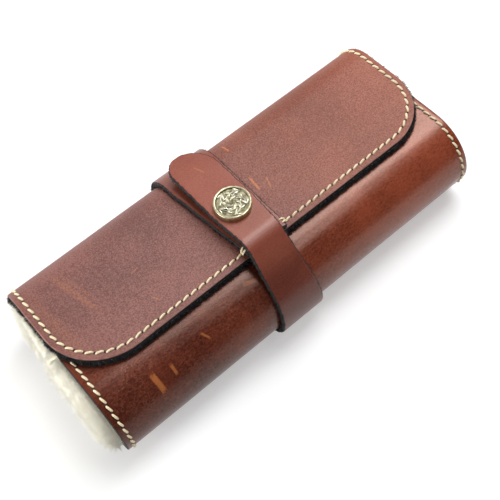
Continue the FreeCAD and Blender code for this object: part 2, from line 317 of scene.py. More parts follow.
def leather(name, deep, mid, rust, roughness, scuffs, warm, creases, crease_colour=(0.42, 0.16, 0.08),
            relief=1.0, gloss=(0.5, 0.5), shares=(0.25, 0.36, 0.45, 0.0),
            drift_over=("X", -0.05, 0.06), tint=(1.0, 1.0, 1.0)):
    """deep and mid are the two tones, and warm is the pair that they drift to; on the strap, and partly on
    the front, that drift is painted light. gloss has both ends too.
    """
    finish = Finish(name, roughness)
    tone, grain, pebble = leather_tone(finish, shares)
    parts = finish.tree.nodes.new("ShaderNodeSeparateXYZ")
    finish.put(parts.inputs["Vector"], finish.coords)
    axis, start, end = drift_over
    # The drift is the flap's own tone, partly painted light on the front, and painted light and shade on the
    # strap.
    drift = finish.remap(parts.outputs[axis], start, end)
    colour = finish.mix(drift, finish.mix(tone, deep, mid), finish.mix(tone, *warm))
    worn = finish.noise(45, 4.0, 0.65, distortion=0.6)
    colour = finish.mix(finish.remap(worn, 0.56, 0.80, 0.0, 0.35), colour, rust)
    patchy = leather_creases(finish, drift)
    colour = finish.mix(finish.math("MULTIPLY", patchy, creases), colour, crease_colour)
    for centre, along, half_long, half_wide, strength, soft in scuffs:
        middle = [value * MM for value in centre]
        mask = finish.scuff(middle, along, half_long * MM, half_wide * MM, soft)
        colour = finish.mix(finish.math("MULTIPLY", mask, strength), colour, SCUFF_COLOUR)
    finish.colour(colour)
    rough = finish.math("ADD", finish.math("MULTIPLY", grain, 0.24), roughness - 0.12)
    finish.put(finish.shader.inputs["Roughness"], rough)
    shine = finish.math("ADD", gloss[0], finish.math("MULTIPLY", drift, gloss[1] - gloss[0]))
    sparkle = finish.remap(grain, 0.36, 0.64, 1 - shares[1], 1 + shares[1])
    finish.put(finish.shader.inputs["Specular IOR Level"], finish.math("MULTIPLY", shine, sparkle))
    finish.put_colour(finish.shader.inputs["Specular Tint"], tint)
    finish.bump([
        (finish.cells(1700), 0.4 * relief, 0.16 * MM),
        (grain, 0.5 * relief, 0.14 * MM),
        (patchy, 0.3 * creases, -0.1 * MM),
        (pebble, 0.8 * shares[3], 0.18 * MM),
        (worn, 0.2, 0.5 * MM),
    ])
    return finish.material


# %% [markdown]
# Every scratch is written as its middle and direction in millimetres, then half its length, half its width,
# its strength and how soft its border is. The wide faint ones are the rubbed bands near the flap's ends.

# %% Scratches
top_mm = top_z / MM
flap_scuffs = [
    ((-71.6, 14.0, top_mm), (5.6, -25.3, 0.0), 13.0, 0.80, 0.15, 1.0),
    ((-70.2, 13.0, top_mm), (5.6, -25.3, 0.0), 14.0, 0.90, 0.17, 1.0),
    ((-68.4, 15.0, top_mm), (5.6, -25.3, 0.0), 10.0, 0.80, 0.12, 1.0),
    ((-84.0, 8.0, top_mm), (0.1, -1.0, 0.0), 24.0, 4.0, 0.12, 1.3),
    ((82.0, 6.0, top_mm), (0.1, -1.0, 0.0), 26.0, 6.0, 0.06, 1.3),
    ((13.6, 26.8, top_mm), (0.05, -1.0, 0.0), 2.4, 0.40, 0.7, 0.5),
    ((10.8, 5.1, top_mm), (-0.12, -1.0, 0.0), 3.5, 0.50, 0.7, 0.5),
    ((15.3, 1.8, top_mm), (-0.36, -1.0, 0.0), 2.8, 0.28, 0.55, 0.5),
    ((-48.2, 6.1, top_mm), (1.0, 0.15, 0.0), 1.8, 0.25, 0.35, 0.5),
    ((-49.2, -9.1, top_mm), (0.5, -1.0, 0.0), 1.5, 0.30, 0.35, 0.5),
]
front_scuffs = [
    ((-67.8, -31.9, 30.9), (0.06, -0.72, -0.69), 4.4, 1.15, 0.62, 0.6),
    ((-60.3, -31.6, 31.3), (0.0, -0.72, -0.69), 2.4, 0.65, 0.5, 0.6),
    ((-43.6, -29.6, 33.0), (0.45, -0.72, -0.53), 2.2, 0.45, 0.45, 0.6),
    ((-17.6, -24.9, 35.5), (1.0, -0.3, -0.12), 3.0, 0.90, 0.3, 0.7),
]
strap_scuffs = [((-4.2, 20.3, tongue_top_z / MM), (1.4, -4.0, 0.0), 2.4, 0.30, 0.35, 0.5)]

# %% The three leathers: dull flap, glossy front and smooth strap
flap_leather = leather(
    "flap_leather", (0.128, 0.040, 0.033), (0.272, 0.099, 0.076), (0.33, 0.115, 0.066), 0.52, flap_scuffs,
    warm=((0.175, 0.045, 0.025), (0.325, 0.092, 0.051)), creases=0.10, gloss=(0.6, 0.5))
# The front's drift along its length is partly painted light: the right end is lighter, as if lit from that
# side, over the leather's own tone.
front_leather = leather(
    "front_leather", (0.045, 0.0090, 0.0050), (0.172, 0.037, 0.019), (0.24, 0.058, 0.025), 0.23, front_scuffs,
    warm=((0.122, 0.022, 0.009), (0.305, 0.062, 0.026)), creases=0.46, crease_colour=(0.33, 0.118, 0.066),
    relief=0.25, gloss=(0.42, 0.74), shares=(0.30, 0.14, 0.16, 0.26), tint=(1.0, 0.72, 0.62))
# The strap's drift over height is painted light and shade: lighter on the tongue and fold, darker down the
# front.
strap_leather = leather(
    "strap_leather", (0.106, 0.020, 0.010), (0.165, 0.035, 0.018), (0.28, 0.080, 0.042), 0.34, strap_scuffs,
    warm=((0.235, 0.056, 0.033), (0.320, 0.085, 0.050)), creases=0.06, relief=0.4, gloss=(0.62, 0.6),
    shares=(0.35, 0.15, 0.2, 0.0), drift_over=("Z", 0.034, 0.047), tint=(1.0, 0.88, 0.84))
print("scratches", len(flap_scuffs) + len(front_scuffs) + len(strap_scuffs))

# %% [markdown]
# The plainer surfaces are one idea with other numbers: a noise for the nap mixes two colours and lifts the
# surface. The edges are dyed black, and the bevel of the rear sheet is a paler pinkish brown, partly a
# painted highlight along the edge. The back of the hide is suede inside the case, and darker flesh under the
# strap.

# %% Dyed edges, flesh side and bevel
BLACK_DYE = (0.006, 0.005, 0.005)


def napped(name, roughness, scale, span, colours, strength, depth, detail=4.0, rough=0.7):
    finish = Finish(name, roughness)
    nap = finish.noise(scale, detail, rough)
    finish.colour(finish.mix(finish.remap(nap, *span), *colours))
    finish.bump([(nap, strength, depth)])
    return finish.material


def lining_skin(name, edge_axis, edge_low, edge_high):
    """Pale suede inside, dyed black where the skin's cut edge shows."""
    finish = Finish(name, 0.85)
    normal = finish.tree.nodes.new("ShaderNodeTexCoord").outputs["Normal"]
    parts = finish.tree.nodes.new("ShaderNodeSeparateXYZ")
    finish.put(parts.inputs["Vector"], normal)
    facing = finish.math("ABSOLUTE", parts.outputs[edge_axis])
    nap = finish.noise(1200, 4.0, 0.7)
    suede = finish.mix(nap, (0.62, 0.52, 0.38), (0.80, 0.72, 0.58))
    fray = finish.remap(nap, 0.52, 0.72)
    dyed = finish.mix(fray, BLACK_DYE, (0.04, 0.034, 0.03))
    finish.colour(finish.mix(finish.remap(facing, edge_low, edge_high), dyed, suede))
    finish.bump([(nap, 0.7, 0.35 * MM)])
    return finish.material


def dress(node_name, material):
    nodes[node_name].data.materials.clear()
    nodes[node_name].data.materials.append(material)


edge_black = napped("edge_dye", 0.7, 1300, (0.5, 0.8), (BLACK_DYE, (0.035, 0.028, 0.026)), 0.6, 0.25 * MM)
# The bevel is paler and pinker than the leather: partly painted highlight along the edge.
bevel_brown = napped("bevel_line", 0.5, 500, (0.4, 0.65), ((0.22, 0.085, 0.065), (0.38, 0.17, 0.135)),
                     0.3, 0.1 * MM, 3.0, 0.55)
suede = napped("suede_side", 0.9, 1400, (0.35, 0.7), ((0.56, 0.46, 0.33), (0.74, 0.66, 0.52)), 0.5, 0.2 * MM)
flesh = napped("flesh_side", 0.85, 1600, (0.35, 0.7), ((0.13, 0.06, 0.038), (0.27, 0.14, 0.09)),
               0.5, 0.2 * MM)
for node_name, axis, low, high in (("flap_lining_skin", "Z", 0.4, 0.7), ("front_lining_skin", "X", 0.7, 0.4),
                                   ("base_lining_skin", "X", 0.7, 0.4)):
    dress(node_name, lining_skin("suede_" + node_name, axis, low, high))
print("materials", len(bpy.data.materials))

# %% [markdown]
# ## Leather sheets
# A leather worker cuts a flat panel and wraps it. The same is done here: a flat grid is laid along the
# section, row by row, then Solidify gives it the hide's thickness. The rim faces take the black edge dye,
# and the long outside corners are bevelled in edit mode. Ends where two sheets meet stay square.


# %% Helpers for pieces
def start_fresh():
    if bpy.context.mode != "OBJECT":
        bpy.ops.object.mode_set(mode="OBJECT")
    bpy.ops.object.select_all(action="DESELECT")


def make_active(piece):
    start_fresh()
    piece.select_set(True)
    bpy.context.view_layer.objects.active = piece


def apply_modifier(piece, kind, **settings):
    make_active(piece)
    modifier = piece.modifiers.new(kind.lower(), kind)
    for name, value in settings.items():
        setattr(modifier, name, value)
    bpy.ops.object.modifier_apply(modifier=modifier.name)


def join_into(piece, extra):
    make_active(piece)
    extra.select_set(True)
    bpy.ops.object.join()


def shaped_tube(sides, cuts, move, radius=1.0, depth=1.0):
    """A cylinder cut into rings along its length. move gives every point its new place."""
    start_fresh()
    bpy.ops.mesh.primitive_cylinder_add(vertices=sides, radius=radius, depth=depth)
    tube = bpy.context.object
    bpy.ops.object.mode_set(mode="EDIT")
    mesh = bmesh.from_edit_mesh(tube.data)
    lengthwise = [edge for edge in mesh.edges if abs(edge.verts[0].co.z - edge.verts[1].co.z) > depth / 2]
    bmesh.ops.subdivide_edges(mesh, edges=lengthwise, cuts=cuts, use_grid_fill=True)
    for vertex in mesh.verts:
        vertex.co = move(vertex.co)
    bmesh.update_edit_mesh(tube.data)
    bpy.ops.mesh.select_all(action="SELECT")
    bpy.ops.mesh.normals_make_consistent(inside=False)
    bpy.ops.object.mode_set(mode="OBJECT")
    return tube


def copies(name, template, places, material):
    """One piece made of many copies of a small shape, each with its own place matrix."""
    source = np.array([vertex.co for vertex in template.data.vertices])
    faces = [list(face.vertices) for face in template.data.polygons]
    turns = np.array([np.array(matrix) for matrix in places])
    points = np.einsum("pij,vj->pvi", turns[:, :3, :3], source) + turns[:, None, :3, 3]
    starts = range(0, len(places) * len(source), len(source))
    polygons = [[start + index for index in face] for start in starts for face in faces]
    mesh = bpy.data.meshes.new(name)
    mesh.from_pydata(points.reshape(-1, 3).tolist(), [], polygons)
    mesh.materials.append(material)
    piece = bpy.data.objects.new(name, mesh)
    bpy.context.scene.collection.objects.link(piece)
    make_active(piece)
    bpy.ops.object.shade_smooth_by_angle(angle=math.radians(50))
    print(name, len(places), "copies")
    return piece


def stand(point, direction, size, seed, slim=1.0):
    """A matrix that stands a shape on a point, turned at random about its own length."""
    direction = Vector(direction).normalized()
    spin = Matrix.Rotation(seed.uniform(0, 2 * math.pi), 3, "Z")
    turn = direction.to_track_quat("Z", "Y").to_matrix() @ spin
    return Matrix.Translation(point) @ (turn @ Matrix.Diagonal((size * slim, size * slim, size))).to_4x4()


# %% Bevel the long edges of a sheet
SHARP_ANGLE = 0.9
ON_CUT = 4e-6
CUT_REACH = 8 * MM


def bevel_long_edges(piece, cut_ends, size, material):
    """Bevels every sharp edge of a sheet apart from those of its square-cut ends."""

    def on_cut(vertex):
        for (y, z), (ny, nz) in cut_ends:
            dy, dz = vertex.co.y - y, vertex.co.z - z
            if abs(dz * ny - dy * nz) < ON_CUT and abs(dy * ny + dz * nz) < CUT_REACH:
                return True
        return False

    make_active(piece)
    bpy.ops.object.mode_set(mode="EDIT")
    bpy.ops.mesh.select_mode(type="EDGE")
    bpy.ops.mesh.select_all(action="DESELECT")
    mesh = bmesh.from_edit_mesh(piece.data)
    cut_vertices = {vertex for vertex in mesh.verts if on_cut(vertex)}
    for face in mesh.faces:
        if all(vertex in cut_vertices for vertex in face.verts):
            face.material_index = 0
    sharp = 0
    for edge in mesh.edges:
        cut = all(vertex in cut_vertices for vertex in edge.verts)
        if len(edge.link_faces) == 2 and edge.calc_face_angle() > SHARP_ANGLE and not cut:
            edge.select_set(True)
            sharp += 1
    bmesh.update_edit_mesh(piece.data)
    bpy.ops.mesh.bevel(offset=size, segments=2, affect="EDGES", material=material)
    bpy.ops.object.mode_set(mode="OBJECT")
    print(piece.name, sharp, "edges bevelled,", len(cut_vertices), "vertices on cut ends")


# %% Lay a flat grid along a section
def wrapped_sheet(name, path, spread, width, offset, thickness, grid, cut, finishes, bevel,
                  ragged=0.0, wave=0.0):
    """A panel laid along a section. spread maps 0..1 to a distance, width gives (middle x, half width)."""
    start_fresh()
    bpy.ops.mesh.primitive_grid_add(x_subdivisions=grid[0], y_subdivisions=grid[1], size=1.0)
    piece = bpy.context.object
    piece.name = name
    piece.data.name = name
    for material in finishes:
        piece.data.materials.append(material)
    for vertex in piece.data.vertices:
        across, share = 2 * vertex.co.x, vertex.co.y + 0.5
        at_cut = (share < 1e-6 and cut[0]) or (share > 1 - 1e-6 and cut[1])
        distance = spread(share)
        (y, z), normal = station(path, distance)
        middle, half = width(distance)
        if abs(across) > 0.999 and not at_cut:
            half += ragged * math.sin(4100 * distance + 2 * across) * math.sin(1700 * distance)
        ripple = math.sin(90 * (middle + across * half) + 140 * y) * math.sin(210 * (y - z))
        lift = offset + wave * ripple
        vertex.co = (middle + across * half, y + normal[0] * lift, z + normal[1] * lift)
    make_active(piece)
    bpy.ops.object.mode_set(mode="EDIT")
    bpy.ops.mesh.select_all(action="SELECT")
    bpy.ops.mesh.flip_normals()
    bpy.ops.object.mode_set(mode="OBJECT")
    apply_modifier(piece, "SOLIDIFY", thickness=thickness, offset=-1.0,
                   material_offset=2, material_offset_rim=1)
    cut_ends = [station(path, spread(end)) for end in (0, 1) if cut[end]]
    bevel_long_edges(piece, cut_ends, bevel, 3)
    make_active(piece)
    bpy.ops.object.shade_smooth_by_angle(angle=math.radians(38))
    print(name, len(piece.data.polygons), "faces")
    return piece


# %% [markdown]
# The cut edges are dyed black and left a little hairy. One fibre is a thin cone with three sides, and some
# hundreds of them stand out of each edge.

# %% One fibre, and fibres along an edge
FIBRE_RADIUS = 0.2 * MM
FIBRE_LONG = 1.3 * MM
FIBRE_MIDDLE = 0.5 * MM
fibre_seed = np.random.default_rng(3)
start_fresh()
bpy.ops.mesh.primitive_cone_add(vertices=3, radius1=FIBRE_RADIUS, radius2=0.0, depth=FIBRE_LONG,
                                location=(0, 0, FIBRE_MIDDLE))
fibre = bpy.context.object
bpy.ops.object.transform_apply(location=True, rotation=True, scale=True)


def edge_fibres(name, spots, depths, long=1.0):
    """Fibres on (point, outward, normal) spots, at a random depth below the outer face."""
    places = []
    for point, outward, normal in spots:
        normal = Vector(normal)
        root = Vector(point) - normal * fibre_seed.uniform(*depths) - Vector(outward) * FIBRE_RADIUS
        lean = Vector(fibre_seed.normal(0, 0.45, 3))
        size = fibre_seed.uniform(0.45, 1.0) * long
        places.append(stand(root, Vector(outward) - normal * 0.35 + lean, size, fibre_seed))
    return copies(name, fibre, places, edge_black)


# %% [markdown]
# The rear sheet runs from the middle of the bottom, round the back and out over the top. Its last stretch is
# the flap, with two large round corners. It runs across the hinge at the back.

# %% The rear sheet: bottom, back and flap
rear_length = path_length(rear_path)
CORNER_SHARE = 0.7
LIP = 0.35 * MM
case_finishes = (flap_leather, edge_black, suede, bevel_brown)


def rear_spread(share):
    """Even rows as far as the round corners, then rows that crowd towards the flap's edge."""
    if share < CORNER_SHARE:
        return share / CORNER_SHARE * (rear_length - FLAP_CORNER)
    turn = (1 - share) / (1 - CORNER_SHARE) * math.pi / 2
    return rear_length - FLAP_CORNER * (1 - math.cos(turn))


def rear_width(distance):
    left = rear_length - distance
    if left >= FLAP_CORNER:
        return 0.0, half_length
    inset = FLAP_CORNER - math.sqrt(max(0.0, FLAP_CORNER ** 2 - (FLAP_CORNER - left) ** 2))
    return 0.0, half_length - inset


rear_cover = wrapped_sheet("cover_rear", rear_path, rear_spread, rear_width, 0.0, LEATHER, (96, 90),
                           (True, False), case_finishes, LIP, wave=0.05 * MM)
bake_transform(rear_cover)
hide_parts("flap_leather", "base_leather")

# %% The hairy black edge of the flap and its lining
END_HAIRS = 950
CORNER_HAIRS = 1700
EDGE_HAIRS = 2600
up = (0.0, 0.0, 1.0)
corner_x = half_length - FLAP_CORNER
corner_y = flap_front + FLAP_CORNER
seam = path_length(rear_path[:2]) + (back_hinge_z - base_z - BACK_RADIUS)
edge_spots = []
for _ in range(END_HAIRS):
    side = fibre_seed.choice((-1, 1))
    (y, z), normal = station(rear_path, fibre_seed.uniform(seam + 6 * MM, rear_length - FLAP_CORNER))
    edge_spots.append(((side * half_length, y, z), (side, 0.0, 0.0), (0.0, *normal)))
for _ in range(CORNER_HAIRS):
    side, angle = fibre_seed.choice((-1, 1)), fibre_seed.uniform(0, math.pi / 2)
    out = (side * math.cos(angle), -math.sin(angle), 0.0)
    spot = (side * corner_x + FLAP_CORNER * out[0], corner_y + FLAP_CORNER * out[1], top_z)
    edge_spots.append((spot, out, up))
for _ in range(EDGE_HAIRS):
    spot = (fibre_seed.uniform(-corner_x, corner_x), flap_front, top_z)
    edge_spots.append((spot, (0, -1, 0), up))
# Round the flap the fibres hang out and down from the edge, so the black band there is partly dyed fuzz and
# partly painted shade under the edge.
flap_fibres = edge_fibres("flap_edge_fibres", edge_spots, (0.9 * MM, wall + 0.2 * MM), 1.7)
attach(flap_fibres, "flap")

# %% [markdown]
# The front sheet starts under the flap, curls down over the front and ends in the middle of the bottom, where
# it meets the rear sheet. Its tucked end has small round corners.

# %% The front sheet: tucked end, round front and half of the bottom
front_length = path_length(front_path)
TUCK_CORNER = 2.5 * MM


def front_width_at(distance):
    if distance >= TUCK_CORNER:
        return 0.0, half_length
    left = TUCK_CORNER - distance
    return 0.0, half_length - TUCK_CORNER + math.sqrt(max(0.0, TUCK_CORNER ** 2 - left ** 2))


def front_spread(share):
    return front_length * share ** 1.25


front_finishes = (front_leather, edge_black, suede, edge_black)
front_cover = wrapped_sheet("cover_front", front_path, front_spread, front_width_at, 0.0, LEATHER, (96, 80),
                            (False, True), front_finishes, LIP, wave=0.06 * MM)
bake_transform(front_cover)
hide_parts("front_leather")

# %% [markdown]
# ## The strap
# One belt goes all the way round. It is made as four sheets that meet edge to edge, because each sheet may
# bend across one hinge only: over the back, up the front, over the fold, and out to the tongue's tip.

# %% Strap sections
fold_start = 90 + FOLD_ANGLE
strap_radius = front_radius + STRAP_GAP
front_centre = (front_top_y, front_hinge_z)
tangent = polar(front_centre, strap_radius, fold_start)
climb_dir = (math.sin(math.radians(fold_start)), -math.cos(math.radians(fold_start)))
fold_reach = polar((0.0, 0.0), FOLD_RADIUS, fold_start)
climb = (tongue_z - FOLD_RADIUS + fold_reach[1] - tangent[1]) / climb_dir[1]
fold_point = (tangent[0] + climb * climb_dir[0], tangent[1] + climb * climb_dir[1])
fold_centre = (fold_point[0] - fold_reach[0], fold_point[1] - fold_reach[1])
half_climb = (tangent[0] + 0.5 * climb * climb_dir[0], tangent[1] + 0.5 * climb * climb_dir[1])
fold_middle = (90 + fold_start) / 2
low_centre = (front_low_y, front_hinge_z)
tip_y = tongue_high.y
front_run = [
    line(half_climb, tangent),
    arc(front_centre, strap_radius, fold_start, 180),
    arc(low_centre, low_radius + STRAP_GAP, 180, 270),
    line((front_low_y, base_z - STRAP_GAP), (0.0, base_z - STRAP_GAP)),
]
fold_run = [arc(fold_centre, FOLD_RADIUS, fold_middle, fold_start), line(fold_point, half_climb)]
tongue_run = [
    line((tip_y, tongue_z), (fold_centre[0], tongue_z)),
    arc(fold_centre, FOLD_RADIUS, 90, fold_middle),
]
middle_share = (0 - front_low_y) / (back_y - front_low_y)
middle_bottom_width = FRONT_STRAP_WIDTH + (back_width - FRONT_STRAP_WIDTH) * middle_share
print("strap runs", [round(path_length(run) / MM) for run in (front_run, fold_run, tongue_run)], "mm")


def between(value, low, high, first, last):
    share = min(1.0, max(0.0, (value - low) / (high - low)))
    return first + share * (last - first)


def rear_strap_width(distance):
    (y, z), _ = station(rear_path, distance)
    if z > back_hinge_z:
        middle = strap_x + between(y, flap_front, back_y, SEWN_SHIFT, 0.0)
        return middle, between(y, flap_front, back_y, SEWN_END_WIDTH, back_width) / 2
    return strap_x, between(y, 0.0, back_y, middle_bottom_width, back_width) / 2


def front_strap_width(distance):
    (y, z), _ = station(front_run, distance)
    if z > front_hinge_z:
        return strap_x, between(z, front_hinge_z, fold_point[1], FRONT_STRAP_WIDTH, NECK_WIDTH) / 2
    return strap_x, between(y, front_low_y, 0.0, FRONT_STRAP_WIDTH, middle_bottom_width) / 2


def fold_width(distance):
    (_, z), _ = station(fold_run, distance)
    return strap_x, between(z, front_hinge_z, fold_point[1], FRONT_STRAP_WIDTH, NECK_WIDTH) / 2


snap_y = (cap_low.y + cap_high.y) / 2
LEFT_TIP = 6.5 * MM
RIGHT_TIP = 13.0 * MM
BLUNT_TIP = 0.12 * MM


def tongue_half(distance):
    """The tongue is widest beside the snap. Its tip is cut by hand, rounder on one side than the other."""
    (y, _), _ = station(tongue_run, distance)
    half = between(y, fold_centre[0], snap_y, NECK_WIDTH, tongue_width) / 2
    left, right = half, half
    tip = distance + BLUNT_TIP
    if tip < LEFT_TIP:
        left = half - LEFT_TIP + math.sqrt(LEFT_TIP ** 2 - (LEFT_TIP - tip) ** 2)
    if tip < RIGHT_TIP:
        reach = 1 - tip / RIGHT_TIP
        right = (2 * half - LEFT_TIP) * math.sqrt(1 - reach ** 2) - (half - LEFT_TIP)
    return strap_x + (right - left) / 2, (right + left) / 2


def eased(path):
    length = path_length(path)
    return lambda share: length * (0.5 - 0.5 * math.cos(math.pi * share))


def even(path):
    length = path_length(path)
    return lambda share: share * length


# %% The four sheets of the strap
STRAP_LIP = 0.42 * MM
over_strap = STRAP_GAP + STRAP
# The strap's bevel takes the black edge dye as well, and with the hairs it widens the dark band along each
# edge: partly the real dye, partly painted shade of the gap under the edge.
strap_finishes = (strap_leather, edge_black, flesh, edge_black)
strap_sheets = [
    ("strap_over_back", rear_path, rear_strap_width, over_strap, (14, 120), (True, False),
     even(rear_path), 800),
    ("strap_up_front", front_run, front_strap_width, STRAP, (14, 80), (True, True), even(front_run), 560),
    ("strap_fold", fold_run, fold_width, STRAP, (14, 24), (True, True), even(fold_run), 80),
    ("strap_tongue_sheet", tongue_run, tongue_half, STRAP, (18, 80), (False, True), eased(tongue_run), 200),
]
strap = {}
for name, path, width, offset, grid, cut, spread, hairs in strap_sheets:
    sheet = wrapped_sheet(name, path, spread, width, offset, STRAP, grid, cut, strap_finishes, STRAP_LIP,
                          ragged=0.22 * MM, wave=0.03 * MM)
    hair_spots = []
    for _ in range(hairs):
        side, distance = fibre_seed.choice((-1, 1)), fibre_seed.uniform(0.1, 0.97) * path_length(path)
        (y, z), normal = station(path, distance)
        middle, half = width(distance)
        spot = (middle + side * half, y + normal[0] * offset, z + normal[1] * offset)
        hair_spots.append((spot, (side, 0.0, 0.0), (0.0, *normal)))
    join_into(sheet, edge_fibres(name + "_hairs", hair_spots, (0.4 * MM, STRAP - 0.2 * MM), 1.15))
    strap[name] = sheet
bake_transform(strap["strap_over_back"])
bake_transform(strap["strap_up_front"])
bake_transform(strap["strap_fold"])
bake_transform(strap["strap_tongue_sheet"])
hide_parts("strap_sewn_run", "strap_under_run")
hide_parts("strap_front_run")
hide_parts("strap_neck")
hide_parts("strap_tongue")

# %% [markdown]
# ## Stitching
# Each stitch is a short waxed thread that comes up out of one awl hole and goes down the next. One thread is
# shaped from a cylinder: its rings are lowered at the ends. It is then copied along the rows, and a small
# dark disc marks every hole between two stitches; its darkness is painted shade for the hole's hollow.

# %% Thread and hole finishes
waxed_thread = napped("waxed_thread", 0.6, 2600, (0.35, 0.65), ((0.78, 0.62, 0.36), (0.95, 0.86, 0.62)),
                      0.6, 0.15 * MM, 2.0, 0.6)
# The holes are flat discs; their dark colour is painted shade for the hollow of each hole.
hole_shade_finish = Finish("awl_hole", 0.9)
hole_shade_finish.colour(hole_shade_finish.mix(hole_shade_finish.noise(900), (0.020, 0.008, 0.006), (0.05, 0.02, 0.014)))

# %% How one thread lies, and where it is placed
STITCH_PITCH = 3.6 * MM
STITCH_LONG = 3.25 * MM
STITCH_RADIUS = 0.46 * MM
STITCH_INSET = 2.8 * MM
STITCH_SLANT = math.radians(9)
SEWN_MARGIN = 1.4 * MM
HOLE_RADIUS = 0.58 * MM
HOLE_TOP_RADIUS = 0.30 * MM
HOLE_THICK = 0.12 * MM


def laid_thread(point):
    """Turns a point of an upright tube to lie along X, and lowers it near the ends."""
    reach = point.z / (STITCH_LONG / 2)
    low = reach ** 4
    aside = point.y * (1 - 0.35 * low) + 0.10 * MM * math.sin(2.2 * reach)
    return point.z, aside, -point.x * (1 - 0.25 * low) + 0.30 * MM - 0.55 * MM * low


def place(point, along, normal, slant=0.0, lift=0.0):
    """A matrix that lays a shape on a surface, turned a little about the surface's normal."""
    along, normal = Vector(along).normalized(), Vector(normal).normalized()
    along = along * math.cos(slant) + normal.cross(along) * math.sin(slant)
    across = normal.cross(along)
    point = Vector(point) + normal * lift
    return Matrix.Translation(point) @ Matrix((along, across, normal)).transposed().to_4x4()


# %% Lay out the rows
def row_steps(length):
    count = max(1, int(length / STITCH_PITCH))
    return [(step + 0.5) * length / count for step in range(count)]


def side_row(path, first, last, side):
    """Stitch places along one end of a panel, between two distances of its section."""
    row = []
    for step in row_steps(last - first):
        (y, z), (ny, nz) = station(path, first + step)
        row.append(((side * (half_length - STITCH_INSET), y, z), (0.0, nz, -ny), (0.0, ny, nz)))
    return row


row_y = flap_front + STITCH_INSET
sewn_x = strap_x + SEWN_SHIFT
flap_row = []
for side in (-1, 1):
    flap_row += side_row(rear_path, seam, rear_length - FLAP_CORNER, side)
    radius = FLAP_CORNER - STITCH_INSET
    for step in row_steps(math.pi / 2 * radius):
        angle = step / radius
        out = (side * math.cos(angle), -math.sin(angle))
        spot = (side * corner_x + radius * out[0], corner_y + radius * out[1], top_z)
        flap_row.append((spot, (-out[1] * side, out[0] * side, 0.0), up))
    edge = sewn_x + side * (SEWN_END_WIDTH / 2 + 0.6 * MM)
    for step in row_steps(abs(side * corner_x - edge)):
        flap_row.append(((edge + side * step, row_y, top_z), (1.0, 0.0, 0.0), up))
front_seam = front_length - path_length(front_path[2:])
rows = {
    "flap": flap_row,
    "front": [spot for side in (-1, 1) for spot in side_row(front_path, 3 * MM, front_seam, side)],
    "base": [spot for side in (-1, 1) for spot in side_row(front_path, front_seam, front_length, side)]
    + [spot for side in (-1, 1) for spot in side_row(rear_path, 0.0, seam, side)],
}
strip_left = sewn_x - SEWN_END_WIDTH / 2 + SEWN_MARGIN
strip_row = [((strip_left + step, row_y, strip_top_z), (1.0, 0.0, 0.0), up)
             for step in row_steps(SEWN_END_WIDTH - 2 * SEWN_MARGIN)]
for side in (-1, 1):
    for shift in (-0.7 * MM, 0.5 * MM):
        edge_x = sewn_x + side * (SEWN_END_WIDTH / 2 + 0.35 * MM)
        edge_spot = (edge_x, row_y + shift, (top_z + strip_top_z) / 2 + 0.5 * MM)
        strip_row.append((edge_spot, (-side * 0.7, shift * 300, 1.0), (side * 1.0, 0.0, 0.7)))
print("stitches", {body: len(row) for body, row in rows.items()}, "strap end", len(strip_row))

# %% Copy the threads and holes along the rows
thread = shaped_tube(7, 4, laid_thread, STITCH_RADIUS, STITCH_LONG)
start_fresh()
bpy.ops.mesh.primitive_cone_add(vertices=8, radius1=HOLE_RADIUS, radius2=HOLE_TOP_RADIUS, depth=HOLE_THICK)
hole = bpy.context.object
for body, row in rows.items():
    threads = copies(body + "_threads", thread, [place(*spot, slant=STITCH_SLANT) for spot in row],
                     waxed_thread)
    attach(threads, body)
    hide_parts(body + "_stitching")
    pits = []
    for point, along, normal in row:
        middle = Vector(point) + Vector(along).normalized() * STITCH_PITCH / 2
        pits.append(place(middle, along, normal, lift=0.05 * MM))
    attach(copies(body + "_awl_holes", hole, pits, hole_shade_finish.material), body)
strip_threads = copies("strap_end_threads", thread, [place(*spot) for spot in strip_row], waxed_thread)
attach(strip_threads, "flap")
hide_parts("strap_end_stitching")
for template in (thread, hole):
    bpy.data.objects.remove(template)

# %% [markdown]
# ## Wool
# The fleece is a pad that swells where nothing presses on it, so it puffs out of the ends of the case. On
# the pad stand thousands of small curls. One curl is shaped once from a thin tapered tube, and copied with a
# fixed random seed, so that every run gives the same fleece. Light passes through real wool and comes out
# again all round, so the finish has some subsurface scatter. It also has a very faint glow of its own, which
# is painted light that lightens the wool's shade.

# %% Wool finish
wool_finish = Finish("fleece", 0.95)
lock = wool_finish.noise(420, 4.0, 0.7)
deep_lock = wool_finish.noise(120, 2.0)
cream = wool_finish.mix(wool_finish.remap(lock, 0.3, 0.7), (0.87, 0.83, 0.68), (0.91, 0.88, 0.76))
yellowed = wool_finish.remap(deep_lock, 0.55, 0.75, 0.0, 0.4)
wool_finish.colour(wool_finish.mix(yellowed, cream, (0.80, 0.74, 0.58)))
wool_finish.bump([(lock, 0.3, 0.4 * MM)])
wool_inputs = {
    "Sheen Weight": 0.35,
    # The emission is painted light: a faint glow that lightens the fleece where it is in shade.
    "Emission Color": (1.0, 0.95, 0.79, 1.0),
    "Emission Strength": 0.12,
    "Subsurface Weight": 0.25,
    "Subsurface Radius": (2 * MM, 1.6 * MM, 1.2 * MM),
}
for socket_name, value in wool_inputs.items():
    wool_finish.shader.inputs[socket_name].default_value = value
print("fleece finish", len(wool_finish.tree.nodes), "nodes")

# %% One curl of wool
CURL_LONG = 2.7 * MM
CURL_RADIUS = 0.18 * MM


def curled(point):
    """Slims a point of an upright tube towards the tip, and bends it over."""
    share = max(0.0, point.z / CURL_LONG + 0.5)
    slim = 1 - 0.7 * share
    bend = 1.5 * share ** 1.4
    x = point.x * slim + 0.9 * MM * (1 - math.cos(bend))
    y = point.y * slim + 0.5 * MM * math.sin(2.6 * share)
    return x, y, 0.8 * CURL_LONG * math.sin(bend)


